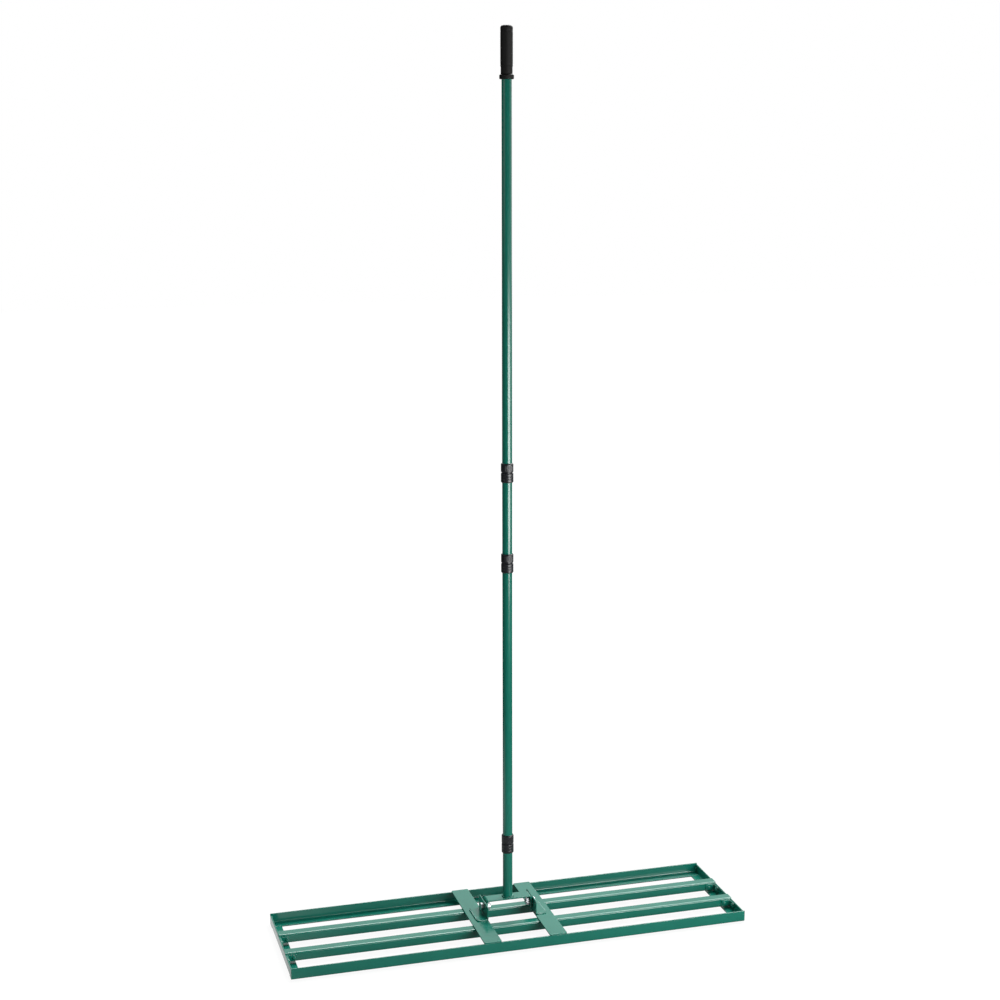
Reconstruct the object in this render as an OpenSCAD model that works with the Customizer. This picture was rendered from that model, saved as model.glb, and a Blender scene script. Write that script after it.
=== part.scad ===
// Lawn leveling rake: an open angle-steel drag head with a tilting upright
// handle that screws together from four tube sections.
// Millimetres, +Z up, front of the head towards -Y, origin on the floor
// under the middle of the head.

/* [Head frame] */
// overall width of the head
head_w = 914; // [700:1:1200]
// overall depth of the head, front to back
head_d = 254; // [230:1:340]
// height of the front and rear rails
rail_h = 22; // [20:0.5:32]
// thickness of the steel angles and plates
steel_t = 2.5; // [2:0.1:3]
// width of the outer frame's bottom flanges
rail_flange = 20; // [16:0.5:24]
// width of the inner bars' top flanges
bar_flange = 20; // [18:0.5:24]
// open height left under the inner bars
bar_lift = 5; // [4:0.5:6]
// front face of the rear inner bar, share of the depth measured from the middle
rear_bar_share = 0.0866; // [0.08:0.001:0.11]
// front face of the front inner bar, share of the depth in front of the middle
front_bar_share = 0.2362; // [0.22:0.001:0.26]

/* [End clips] */
// length of each leg of the clips that hold the inner bars
clip_leg = 20; // [18:0.5:24]
// height of the clips
clip_h = 12; // [10:0.5:12]
// distance of the rivets from the corner of the clip
rivet_out = 14; // [12:0.5:15]
// diameter of the rivets' shanks
rivet_d = 4.5; // [4:0.5:5]
// diameter of the rivets' round heads
rivet_head_d = 7.5; // [7:0.5:8.5]
// height of the rivets' round heads
rivet_head_h = 2.2; // [1.6:0.1:2.8]

/* [Centre plates and ears] */
// width of the two cross plates
plate_w = 35; // [30:0.5:45]
// open width between the two cross plates
plate_gap = 97; // [90:0.5:120]
// width of the ears' feet
ear_foot = 22.5; // [21:0.5:28]
// length of the ears, front to back
ear_len = 64; // [50:0.5:80]
// height of the ears above the pivot
ear_rise = 12; // [11:0.5:13]
// radius of the ears' upper corners
ear_round = 3; // [2:0.5:6]

/* [Pivot and yoke] */
// height of the pivot above the cross plates
pivot_lift = 16.5; // [16:0.5:24]
// diameter of the pivot bolts
pivot_d = 8; // [7:0.5:9]
// width across the flats of the pivot bolts and nuts
pivot_af = 13; // [12:0.5:14]
// height of the pivot bolts' heads
pivot_head_h = 5.3; // [4.5:0.1:6]
// height of the pivot nuts
pivot_nut_h = 6.5; // [5:0.1:8]
// bolt end showing past each pivot nut
bolt_tail = 1.5; // [1:0.1:2]
// outer diameter of the pivot washers
pivot_washer_d = 16; // [15:0.5:18]
// thickness of the pivot washers
pivot_washer_t = 1.2; // [1:0.1:1.6]
// width of the yoke strap
yoke_w = 25; // [22:0.5:26]
// thickness of the yoke strap
yoke_t = 3; // [2.5:0.1:3.5]
// height of the yoke's flat top above the pivot
yoke_rise = 16; // [15:0.5:24]
// outside radius of the yoke's bends
yoke_bend_r = 5; // [4:0.5:6]

/* [Handle] */
// outer diameter of the handle tubes
tube_d = 19; // [18:0.5:20]
// wall thickness of the handle tubes
tube_wall = 1.2; // [1:0.1:1.4]
// length of the handle stub showing below the bottom collar
stub_len = 93; // [60:1:140]
// length from the bottom collar to the middle collar
lower_len = 570; // [400:1:700]
// length from the middle collar to the top collar
middle_len = 176; // [160:1:300]
// length from the top collar to the grip
upper_len = 746; // [600:1:900]

/* [Collars] */
// wall of the fixed collars outside the tube
collar_wall = 2.4; // [2.3:0.1:3.5]
// height of the fixed collars
collar_h = 19; // [17:0.5:21]
// depth of the tube end inside the fixed collars
collar_seat = 14; // [11:0.5:14]
// length of the threaded spigot above each fixed collar
spigot_h = 13; // [13:0.5:16]
// wall of the spigot outside the tube radius
spigot_wall = 0.8; // [0.7:0.05:1]
// height of the flared rim at the foot of each upper tube
rim_h = 2; // [1.5:0.1:2.5]
// height of the lip of the collar nuts above the rim
lip_h = 3; // [3:0.1:5]
// groove showing between the fixed collar and its nut
groove_h = 1.3; // [1:0.1:2]
// chamfer at the outer edges of the collars
collar_chamfer = 1.2; // [0.8:0.1:1.4]
// length of the inner connector below the collar shoulder
plug_down = 40; // [30:1:50]
// length of the inner connector inside the upper tube
plug_up = 36; // [30:1:50]
// wall thickness of the inner connectors
plug_wall = 2; // [1.5:0.1:2.5]

/* [Grip] */
// length of the grip
grip_len = 95.5; // [80:0.5:140]
// diameter of the grip
grip_d = 23; // [22.5:0.5:26]
// diameter of the flange at the foot of the grip
grip_flange_d = 27; // [26.5:0.5:31]
// height of the flange at the foot of the grip
grip_flange_h = 10; // [7:0.5:12]
// depth of the recessed band above the flange
grip_band_cut = 0.6; // [0.4:0.1:0.8]
// height of the recessed band above the flange
grip_band_h = 13; // [8:0.5:16]
// radius of the rounded top edge of the grip
grip_round = 5; // [4:0.5:6]
// thickness of the grip's closed top
grip_cap = 6; // [6:0.5:8]

/* [Fits] */
// free space between moving curved faces
move_gap = 0.3; // [0.25:0.05:0.35]
// running clearance of the yoke on its pivot bolts
run_gap = 0.05; // [0.03:0.01:0.08]
// clearance of bolts in drilled holes
hole_gap = 0.2; // [0.15:0.05:0.3]
// overrun of cutting shapes
cut_over = 1; // [0.5:0.1:1.5]

/* [Hidden] */
$fn = 96;
hex_sides = 6;
half_w = head_w / 2;
half_d = head_d / 2;
end_h = rail_h - steel_t;
rear_bar_y = head_d * rear_bar_share;
front_bar_y = -head_d * front_bar_share;
bar_ys = [rear_bar_y, front_bar_y];
clip_mid_z = (bar_lift + end_h) / 2;
rivet_x = half_w - steel_t - rivet_out;
plate_in = plate_gap / 2;
plate_top = rail_h + steel_t;
foot_top = plate_top + steel_t;
pivot_z = plate_top + pivot_lift;
pivot_r = pivot_d / 2;
yoke_half = plate_in - pivot_washer_t - move_gap;
yoke_top = pivot_z + yoke_rise;
pivot_nut_out = yoke_half - yoke_t - move_gap;
tube_r = tube_d / 2;
bore_r = tube_r - tube_wall;
plug_r = bore_r - move_gap;
collar_r = tube_r + collar_wall;
spigot_r = tube_r + spigot_wall;
nut_bore_r = spigot_r + move_gap;
rim_r = spigot_r;
lip_r = tube_r + move_gap;
joint_h = collar_h + spigot_h;
nut_top = joint_h + rim_h + move_gap + lip_h;
collar_1_z = yoke_top + stub_len;
collar_2_z = collar_1_z + lower_len;
collar_3_z = collar_2_z + middle_len;
grip_z = collar_3_z + upper_len;
grip_top = grip_z + grip_len;
grip_r = grip_d / 2;
steel_green = [0.10, 0.42, 0.34];
zinc_grey = [0.75, 0.76, 0.78];
plastic_black = [0.10, 0.10, 0.11];
plug_grey = [0.55, 0.56, 0.57];

// solid bar along Z between two heights
module rod(r, z0, z1) {
  translate([0, 0, z0]) cylinder(r = r, h = z1 - z0);
}

// hexagon along Z between two heights, sized across its flats
module hex_rod(af, z0, z1) {
  translate([0, 0, z0]) cylinder(d = af / cos(180 / hex_sides), h = z1 - z0, $fn = hex_sides);
}

// box between two corners
module block(a, b) {
  translate(a) cube(b - a);
}

// turns a shape drawn along Z to lie along +X
module along_x() {
  rotate([0, 90, 0]) children();
}

// turns a shape drawn along Z to lie along +Y
module along_y() {
  rotate([-90, 0, 0]) children();
}

// outer frame angle along X, upright leg outside, flange at the bottom
module rail() {
  color(steel_green) union() {
    block([-half_w, -half_d, 0], [half_w, -half_d + steel_t, rail_h]);
    block([-half_w, -half_d, 0], [half_w, -half_d + rail_flange, steel_t]);
  }
}

// end angle along Y between the two rails
module end_bar(s) {
  color(steel_green) mirror([s < 0 ? 1 : 0, 0, 0]) difference() {
    union() {
      block([half_w - steel_t, -half_d + steel_t, steel_t], [half_w, half_d - steel_t, end_h]);
      block([half_w - rail_flange, -half_d + rail_flange, 0], [half_w, half_d - rail_flange, steel_t]);
    }
    for (y = bar_ys)
      translate([half_w, y - rivet_out, clip_mid_z])
        along_x() rod(rivet_d / 2, -steel_t - cut_over, cut_over);
  }
}

// inner angle along X with its flange on top, front face at depth y
module inner_bar(y) {
  difference() {
    union() {
      block([-half_w, y, end_h], [half_w, y + bar_flange, rail_h]);
      block([-half_w + steel_t, y, bar_lift], [half_w - steel_t, y + steel_t, rail_h]);
    }
    for (s = [-1, 1])
      translate([s * rivet_x, y, clip_mid_z])
        along_y() rod(rivet_d / 2, -cut_over, steel_t + cut_over);
  }
}

// small angle holding the end of an inner bar to the end bar
module clip(s, y) {
  color(steel_green) mirror([s < 0 ? 1 : 0, 0, 0]) difference() {
    union() {
      block([half_w - steel_t - clip_leg, y - steel_t, clip_mid_z - clip_h / 2],
        [half_w - steel_t, y, clip_mid_z + clip_h / 2]);
      block([half_w - steel_t * 2, y - clip_leg, clip_mid_z - clip_h / 2],
        [half_w - steel_t, y, clip_mid_z + clip_h / 2]);
    }
    translate([rivet_x, y, clip_mid_z])
      along_y() rod(rivet_d / 2, -steel_t - cut_over, cut_over);
    translate([half_w - steel_t, y - rivet_out, clip_mid_z])
      along_x() rod(rivet_d / 2, -steel_t - cut_over, cut_over);
  }
}

// rivet along Z through two sheets, flush at its foot, round head on top
module rivet() {
  union() {
    rod(rivet_d / 2, 0, steel_t * 2 + rivet_head_h / 2);
    rod(rivet_head_d / 2, steel_t * 2, steel_t * 2 + rivet_head_h);
  }
}

// the places of the rivets, each with its head inside the frame
module rivet_places() {
  for (s = [-1, 1])
    mirror([s < 0 ? 1 : 0, 0, 0])
      for (y = bar_ys) {
        translate([rivet_x, y + steel_t, clip_mid_z]) rotate([90, 0, 0]) children();
        translate([half_w, y - rivet_out, clip_mid_z]) rotate([0, -90, 0]) children();
      }
}

// flat strip across the rails, front to back
module cross_plate(s) {
  color(steel_green) mirror([s < 0 ? 1 : 0, 0, 0])
    block([plate_in, -half_d, rail_h], [plate_in + plate_w, half_d, plate_top]);
}

// upright half-plane outline with two rounded upper corners
module arch(half, top, r, bottom) {
  union() {
    translate([-half, bottom]) square([half * 2, top - r - bottom]);
    translate([-half + r, bottom]) square([(half - r) * 2, top - bottom]);
    translate([-half + r, top - r]) circle(r = r);
    translate([half - r, top - r]) circle(r = r);
  }
}

// short angle standing on a cross plate, foot outside, upright side inside
module pivot_ear(s) {
  color(steel_green) mirror([s < 0 ? 1 : 0, 0, 0]) difference() {
    union() {
      block([plate_in, -ear_len / 2, plate_top], [plate_in + ear_foot, ear_len / 2, foot_top]);
      translate([plate_in, 0, 0]) rotate([90, 0, 90]) linear_extrude(height = steel_t)
        arch(ear_len / 2, pivot_z + ear_rise, ear_round, plate_top);
    }
    translate([plate_in, 0, pivot_z])
      along_x() rod(pivot_r + hole_gap, -cut_over, steel_t + cut_over);
  }
}

module front_rail() rail();

module rear_rail() mirror([0, 1, 0]) rail();

module left_end_bar() end_bar(-1);

module right_end_bar() end_bar(1);

module rear_inner_bar() color(steel_green) inner_bar(rear_bar_y);

module front_inner_bar() color(steel_green) inner_bar(front_bar_y);

module rear_left_clip() clip(-1, rear_bar_y);

module rear_right_clip() clip(1, rear_bar_y);

module front_left_clip() clip(-1, front_bar_y);

module front_right_clip() clip(1, front_bar_y);

module clip_rivets() color(steel_green) rivet_places() rivet();

module left_cross_plate() cross_plate(-1);

module right_cross_plate() cross_plate(1);

module left_pivot_ear() pivot_ear(-1);

module right_pivot_ear() pivot_ear(1);

module pivot_bolts() {
  color(zinc_grey) for (s = [0, 1])
    mirror([s, 0, 0]) translate([0, 0, pivot_z]) along_x() union() {
      hex_rod(pivot_af, plate_in + steel_t, plate_in + steel_t + pivot_head_h);
      rod(pivot_r, pivot_nut_out - pivot_nut_h - bolt_tail, plate_in + steel_t + pivot_head_h / 2);
    }
}

module pivot_washers() {
  color(zinc_grey) for (s = [0, 1])
    mirror([s, 0, 0]) translate([0, 0, pivot_z]) along_x() difference() {
      rod(pivot_washer_d / 2, plate_in - pivot_washer_t, plate_in);
      rod(pivot_r, plate_in - pivot_washer_t - cut_over, plate_in + cut_over);
    }
}

module pivot_nuts() {
  color(zinc_grey) for (s = [0, 1])
    mirror([s, 0, 0]) translate([0, 0, pivot_z]) along_x() difference() {
      hex_rod(pivot_af, pivot_nut_out - pivot_nut_h, pivot_nut_out);
      rod(pivot_r, pivot_nut_out - pivot_nut_h - cut_over, pivot_nut_out + cut_over);
    }
}

module yoke() {
  color(steel_green) difference() {
    intersection() {
      translate([0, yoke_w / 2, 0]) rotate([90, 0, 0]) linear_extrude(height = yoke_w) difference() {
        arch(yoke_half, yoke_top, yoke_bend_r, pivot_z - yoke_w / 2);
        arch(yoke_half - yoke_t, yoke_top - yoke_t, yoke_bend_r - yoke_t, pivot_z - yoke_w);
      }
      union() {
        block([-half_w, -yoke_w / 2, pivot_z], [half_w, yoke_w / 2, yoke_top + cut_over]);
        translate([0, 0, pivot_z]) along_x() rod(yoke_w / 2, -half_w, half_w);
      }
    }
    translate([0, 0, pivot_z])
      along_x() rod(pivot_r + run_gap, -yoke_half - cut_over, yoke_half + cut_over);
  }
}

// handle tube between two heights
module tube(z0, z1) {
  difference() {
    rod(tube_r, z0, z1);
    rod(bore_r, z0 - cut_over, z1 + cut_over);
  }
}

// handle tube with a flared rim at its foot
module rimmed_tube(z0, z1) {
  color(steel_green) difference() {
    union() {
      rod(tube_r, z0, z1);
      rod(rim_r, z0, z0 + rim_h);
    }
    rod(bore_r, z0 - cut_over, z1 + cut_over);
  }
}

// fixed collar with its spigot, drawn from height z
module collar(z) {
  color(plastic_black) translate([0, 0, z]) rotate_extrude() polygon([
    [tube_r, 0], [collar_r - collar_chamfer, 0], [collar_r, collar_chamfer],
    [collar_r, collar_h - collar_chamfer], [collar_r - collar_chamfer, collar_h],
    [spigot_r, collar_h], [spigot_r, joint_h], [bore_r, joint_h],
    [bore_r, collar_seat], [tube_r, collar_seat]
  ]);
}

// turning nut around the spigot, drawn from the collar's height z
module collar_nut(z) {
  color(plastic_black) translate([0, 0, z]) rotate_extrude() polygon([
    [nut_bore_r, collar_h + groove_h], [collar_r - collar_chamfer, collar_h + groove_h],
    [collar_r, collar_h + groove_h + collar_chamfer], [collar_r, nut_top - collar_chamfer],
    [collar_r - collar_chamfer, nut_top], [lip_r, nut_top],
    [lip_r, joint_h + rim_h + move_gap], [nut_bore_r, joint_h + rim_h + move_gap]
  ]);
}

// inner sleeve fixed in the upper tube and sliding into the lower one
module connector(z) {
  color(plug_grey) translate([0, 0, z]) rotate_extrude() polygon([
    [plug_r - plug_wall, collar_seat - plug_down], [plug_r, collar_seat - plug_down],
    [plug_r, joint_h], [bore_r, joint_h],
    [bore_r, joint_h + plug_up], [plug_r - plug_wall, joint_h + plug_up]
  ]);
}

module handle_stub() color(steel_green) tube(yoke_top, collar_1_z + collar_seat);

module bottom_collar() collar(collar_1_z);

module bottom_collar_nut() collar_nut(collar_1_z);

module bottom_connector() connector(collar_1_z);

module lower_tube() rimmed_tube(collar_1_z + joint_h, collar_2_z + collar_seat);

module middle_collar() collar(collar_2_z);

module middle_collar_nut() collar_nut(collar_2_z);

module middle_connector() connector(collar_2_z);

module middle_tube() rimmed_tube(collar_2_z + joint_h, collar_3_z + collar_seat);

module top_collar() collar(collar_3_z);

module top_collar_nut() collar_nut(collar_3_z);

module top_connector() connector(collar_3_z);

module upper_tube() rimmed_tube(collar_3_z + joint_h, grip_top - grip_cap);

module grip() {
  color(plastic_black) difference() {
    rotate_extrude() union() {
      translate([0, grip_z]) square([grip_flange_d / 2 - collar_chamfer, grip_flange_h]);
      translate([0, grip_z + collar_chamfer])
        square([grip_flange_d / 2, grip_flange_h - collar_chamfer * 2]);
      translate([0, grip_z + grip_flange_h]) square([grip_r - grip_band_cut, grip_band_h]);
      translate([0, grip_z + grip_flange_h + grip_band_h])
        square([grip_r, grip_len - grip_flange_h - grip_band_h - grip_round]);
      translate([0, grip_top - grip_round]) square([grip_r - grip_round, grip_round]);
      intersection() {
        translate([grip_r - grip_round, grip_top - grip_round]) circle(r = grip_round);
        translate([grip_r - grip_round, grip_top - grip_round]) square([grip_round, grip_round]);
      }
    }
    rod(tube_r, grip_z - cut_over, grip_top - grip_cap);
  }
}

front_rail();
rear_rail();
left_end_bar();
right_end_bar();
rear_inner_bar();
front_inner_bar();
rear_left_clip();
rear_right_clip();
front_left_clip();
front_right_clip();
clip_rivets();
left_cross_plate();
right_cross_plate();
left_pivot_ear();
right_pivot_ear();
pivot_bolts();
pivot_washers();
pivot_nuts();
yoke();
handle_stub();
bottom_collar();
bottom_collar_nut();
bottom_connector();
lower_tube();
middle_collar();
middle_collar_nut();
middle_connector();
middle_tube();
top_collar();
top_collar_nut();
top_connector();
upper_tube();
grip();
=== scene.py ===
"""Lawn leveling rake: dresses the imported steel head, its pivot, the sectional handle and the grip.

Sizes of the rake are in millimetres, as in the part's source, and become metres when a mesh is made.
"""
import logging
import math
from dataclasses import dataclass
from enum import Enum
from typing import Any, Optional, Sequence

import bmesh
import bpy
import numpy as np
from mathutils import Matrix, Vector


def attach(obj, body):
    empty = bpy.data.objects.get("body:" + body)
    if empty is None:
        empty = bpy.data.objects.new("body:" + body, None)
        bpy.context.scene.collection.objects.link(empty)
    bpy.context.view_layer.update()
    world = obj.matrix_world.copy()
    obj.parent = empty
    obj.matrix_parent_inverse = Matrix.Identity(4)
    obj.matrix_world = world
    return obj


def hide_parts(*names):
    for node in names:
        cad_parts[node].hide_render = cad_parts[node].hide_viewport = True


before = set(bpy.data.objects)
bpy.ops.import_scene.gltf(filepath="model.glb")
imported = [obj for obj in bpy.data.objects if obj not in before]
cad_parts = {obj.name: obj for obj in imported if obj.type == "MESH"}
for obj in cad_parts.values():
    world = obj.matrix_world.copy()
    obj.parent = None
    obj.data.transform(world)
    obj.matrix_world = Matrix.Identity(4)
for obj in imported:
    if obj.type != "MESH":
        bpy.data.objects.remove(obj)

LOG = logging.getLogger("rake")
MM = 0.001
TURN = 2.0 * math.pi
QUARTER = math.pi / 2
SHARP_EDGE = math.radians(35.0)
X_AXIS, Y_AXIS, Z_AXIS = np.eye(3)
LEFT, RIGHT = -1.0, 1.0
FRONT, REAR = -1.0, 1.0

# Sockets of a Mix node that mixes two colours
MIX_SHARE, MIX_FIRST, MIX_SECOND, MIX_RESULT = 0, 6, 7, 2


class Body(Enum):
    """The moving bodies of the rake, by their names in the frame."""

    HEAD = "head"
    STUB = "stub_section"
    LOWER = "lower_section"
    MIDDLE = "middle_section"
    UPPER = "upper_section"
    BOTTOM_NUT = "bottom_nut"
    MIDDLE_NUT = "middle_nut"
    TOP_NUT = "top_nut"


class Slot(Enum):
    """The record's finishes."""

    PAINT = "green_paint"
    ZINC = "zinc_steel"
    PLASTIC = "black_plastic"
    STEEL = "plain_steel"
    RUBBER = "black_rubber"


# Colours and nodes


def linear(code: str) -> tuple[float, float, float, float]:
    """Turns an sRGB hex colour to linear light.

    Args:
        code: A hash and six hex digits.

    Returns:
        Red, green, blue and an alpha of 1.
    """
    raw = np.array([int(code[k:k + 2], 16) for k in (1, 3, 5)]) / 255.0
    red, green, blue = np.where(raw <= 0.04045, raw / 12.92, ((raw + 0.055) / 1.055) ** 2.4).tolist()
    return red, green, blue, 1.0


def add_node(
    tree: bpy.types.NodeTree,
    kind: str,
    settings: Optional[dict[str, Any]] = None,
    values: Optional[dict[Any, Any]] = None,
    links: Optional[dict[Any, Any]] = None,
) -> bpy.types.Node:
    """Adds one node with its settings, socket values and incoming links.

    Args:
        tree: The node tree that takes it.
        kind: Blender's name of the node type.
        settings: Attribute values of the node.
        values: Input socket values by name or number.
        links: Output sockets by the name or number of the input that they feed.

    Returns:
        The new node.
    """
    node = tree.nodes.new(kind)
    for key, value in (settings or {}).items():
        setattr(node, key, value)
    for key, value in (values or {}).items():
        node.inputs[key].default_value = value
    for key, socket in (links or {}).items():
        tree.links.new(socket, node.inputs[key])
    return node


def per_metre(size_mm: float) -> float:
    """Pattern scale that gives features of a real size in millimetres."""
    return 1.0 / (size_mm * MM)


def span(source: Sequence[float], target: Sequence[float]) -> dict[str, float]:
    """Socket values that carry one range of numbers to another."""
    return {"From Min": source[0], "From Max": source[1], "To Min": target[0], "To Max": target[1]}


# Finishes


@dataclass(frozen=True)
class Finish:
    """What every finish shares: a name and a way to start its node tree."""

    name: str

    def start(self) -> tuple[bpy.types.Material, bpy.types.NodeTree, bpy.types.Node, bpy.types.NodeSocket]:
        """Makes an empty material with its shader.

        Returns:
            The material, its tree, the shader node and the object coordinates.
        """
        material = bpy.data.materials.new(self.name)
        material.use_nodes = True
        tree = material.node_tree
        tree.nodes.clear()
        shader = add_node(tree, "ShaderNodeBsdfPrincipled")
        add_node(tree, "ShaderNodeOutputMaterial", links={"Surface": shader.outputs["BSDF"]})
        place = add_node(tree, "ShaderNodeTexCoord").outputs["Object"]
        return material, tree, shader, place


@dataclass(frozen=True)
class PowderCoat(Finish):
    """Glossy powder-coated steel: baked polyester with faint orange peel.

    To the eye it is a deep green of slightly uneven depth, with bright and nearly sharp highlights.
    """

    deep: str = "#0f6958"
    plain: str = "#137463"
    cloud_mm: float = 70.0
    cloud_detail: float = 3.0
    peel_mm: float = 2.4
    peel_detail: float = 1.0
    peel_depth_mm: float = 0.04
    peel_strength: float = 0.025
    roughness: tuple[float, float] = (0.12, 0.23)
    ior: float = 1.52

    def build(self) -> bpy.types.Material:
        """Makes the material: two close greens in soft clouds, gloss that varies, and orange-peel bump.

        Returns:
            The material.
        """
        material, tree, shader, place = self.start()
        cloud = add_node(tree, "ShaderNodeTexNoise",
                         values={"Scale": per_metre(self.cloud_mm), "Detail": self.cloud_detail},
                         links={"Vector": place})
        tone = add_node(tree, "ShaderNodeMix", {"data_type": "RGBA"},
                        {MIX_FIRST: linear(self.deep), MIX_SECOND: linear(self.plain)},
                        {MIX_SHARE: cloud.outputs["Fac"]})
        peel = add_node(tree, "ShaderNodeTexNoise",
                        values={"Scale": per_metre(self.peel_mm), "Detail": self.peel_detail},
                        links={"Vector": place})
        gloss = add_node(tree, "ShaderNodeMapRange", values=span((0.0, 1.0), self.roughness),
                         links={"Value": cloud.outputs["Fac"]})
        bump = add_node(tree, "ShaderNodeBump",
                        values={"Strength": self.peel_strength, "Distance": self.peel_depth_mm * MM},
                        links={"Height": peel.outputs["Fac"]})
        tree.links.new(tone.outputs[MIX_RESULT], shader.inputs["Base Color"])
        tree.links.new(gloss.outputs["Result"], shader.inputs["Roughness"])
        tree.links.new(bump.outputs["Normal"], shader.inputs["Normal"])
        shader.inputs["IOR"].default_value = self.ior
        return material


@dataclass(frozen=True)
class ZincPlate(Finish):
    """Bright zinc-plated fasteners: a thin plated skin over turned and pressed steel.

    To the eye it is pale metal with a slightly uneven polish and a faint spangle, drawn coarser than the real
    one so that it shows in the render.
    """

    pale: str = "#e4e6e9"
    dull: str = "#c6cace"
    spangle_mm: float = 1.6
    roughness: tuple[float, float] = (0.26, 0.42)

    def build(self) -> bpy.types.Material:
        """Makes the material: small plates of two close greys with uneven polish.

        Returns:
            The material.
        """
        material, tree, shader, place = self.start()
        plates = add_node(tree, "ShaderNodeTexVoronoi", values={"Scale": per_metre(self.spangle_mm)},
                          links={"Vector": place})
        tone = add_node(tree, "ShaderNodeMix", {"data_type": "RGBA"},
                        {MIX_FIRST: linear(self.dull), MIX_SECOND: linear(self.pale)},
                        {MIX_SHARE: plates.outputs["Color"]})
        gloss = add_node(tree, "ShaderNodeMapRange", values=span((0.0, 1.0), self.roughness),
                         links={"Value": plates.outputs["Color"]})
        tree.links.new(tone.outputs[MIX_RESULT], shader.inputs["Base Color"])
        tree.links.new(gloss.outputs["Result"], shader.inputs["Roughness"])
        shader.inputs["Metallic"].default_value = 1.0
        return material


@dataclass(frozen=True)
class MouldedNylon(Finish):
    """Moulded black nylon, with the grain of a spark-eroded mould.

    To the eye it is charcoal with a satin skin and a fine grain, drawn coarser than the real one so that it
    shows in the render.
    """

    dark: str = "#16181b"
    light: str = "#24262b"
    grain_mm: float = 0.7
    grain_detail: float = 2.0
    grain_depth_mm: float = 0.05
    grain_strength: float = 0.1
    roughness: float = 0.34

    def build(self) -> bpy.types.Material:
        """Makes the material: fine grain that moves both colour and bump.

        Returns:
            The material.
        """
        material, tree, shader, place = self.start()
        grain = add_node(tree, "ShaderNodeTexNoise",
                         values={"Scale": per_metre(self.grain_mm), "Detail": self.grain_detail},
                         links={"Vector": place})
        tone = add_node(tree, "ShaderNodeMix", {"data_type": "RGBA"},
                        {MIX_FIRST: linear(self.dark), MIX_SECOND: linear(self.light)},
                        {MIX_SHARE: grain.outputs["Fac"]})
        bump = add_node(tree, "ShaderNodeBump",
                        values={"Strength": self.grain_strength, "Distance": self.grain_depth_mm * MM},
                        links={"Height": grain.outputs["Fac"]})
        tree.links.new(tone.outputs[MIX_RESULT], shader.inputs["Base Color"])
        tree.links.new(bump.outputs["Normal"], shader.inputs["Normal"])
        shader.inputs["Roughness"].default_value = self.roughness
        return material


@dataclass(frozen=True)
class SoftRubber(Finish):
    """Dipped black rubber sleeve.

    To the eye it is nearly black and dull, with rubbed patches and a fine pebbled skin, drawn coarser than
    the real one so that it shows in the render.
    """

    dark: str = "#0b0b0a"
    rubbed: str = "#141413"
    patch_mm: float = 26.0
    patch_detail: float = 4.0
    pebble_mm: float = 0.9
    pebble_depth_mm: float = 0.08
    pebble_strength: float = 0.3
    roughness: float = 0.62
    specular: float = 0.3

    def build(self) -> bpy.types.Material:
        """Makes the material: rubbed patches in the colour and pebbles in the bump.

        Returns:
            The material.
        """
        material, tree, shader, place = self.start()
        patch = add_node(tree, "ShaderNodeTexNoise",
                         values={"Scale": per_metre(self.patch_mm), "Detail": self.patch_detail},
                         links={"Vector": place})
        tone = add_node(tree, "ShaderNodeMix", {"data_type": "RGBA"},
                        {MIX_FIRST: linear(self.dark), MIX_SECOND: linear(self.rubbed)},
                        {MIX_SHARE: patch.outputs["Fac"]})
        pebble = add_node(tree, "ShaderNodeTexVoronoi", values={"Scale": per_metre(self.pebble_mm)},
                          links={"Vector": place})
        bump = add_node(tree, "ShaderNodeBump", {"invert": True},
                        {"Strength": self.pebble_strength, "Distance": self.pebble_depth_mm * MM},
                        {"Height": pebble.outputs["Distance"]})
        tree.links.new(tone.outputs[MIX_RESULT], shader.inputs["Base Color"])
        tree.links.new(bump.outputs["Normal"], shader.inputs["Normal"])
        shader.inputs["Roughness"].default_value = self.roughness
        shader.inputs["Specular IOR Level"].default_value = self.specular
        return material


@dataclass(frozen=True)
class DrawnSteel(Finish):
    """Plain drawn steel sleeve.

    To the eye it is grey metal with fine draw lines along its length, drawn coarser than the real ones.
    """

    pale: str = "#9a9c9f"
    dark: str = "#7b7d80"
    line_mm: float = 0.8
    line_detail: float = 2.0
    line_squeeze: float = 0.02
    roughness: float = 0.32

    def build(self) -> bpy.types.Material:
        """Makes the material: noise stretched along Z gives the draw lines.

        Returns:
            The material.
        """
        material, tree, shader, place = self.start()
        stretch = add_node(tree, "ShaderNodeMapping", values={"Scale": (1.0, 1.0, self.line_squeeze)},
                           links={"Vector": place})
        lines = add_node(tree, "ShaderNodeTexNoise",
                         values={"Scale": per_metre(self.line_mm), "Detail": self.line_detail},
                         links={"Vector": stretch.outputs["Vector"]})
        tone = add_node(tree, "ShaderNodeMix", {"data_type": "RGBA"},
                        {MIX_FIRST: linear(self.dark), MIX_SECOND: linear(self.pale)},
                        {MIX_SHARE: lines.outputs["Fac"]})
        tree.links.new(tone.outputs[MIX_RESULT], shader.inputs["Base Color"])
        shader.inputs["Metallic"].default_value = 1.0
        shader.inputs["Roughness"].default_value = self.roughness
        return material


@dataclass(frozen=True)
class Finishes:
    """The finished materials by slot."""

    by_slot: dict[Slot, bpy.types.Material]

    @classmethod
    def make(cls) -> "Finishes":
        """Builds every finish once."""
        return cls({
            Slot.PAINT: PowderCoat("green_powder_coat").build(),
            Slot.ZINC: ZincPlate("bright_zinc_plate").build(),
            Slot.PLASTIC: MouldedNylon("moulded_black_nylon").build(),
            Slot.STEEL: DrawnSteel("drawn_steel").build(),
            Slot.RUBBER: SoftRubber("dipped_black_rubber").build(),
        })


# Surfaces


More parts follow.
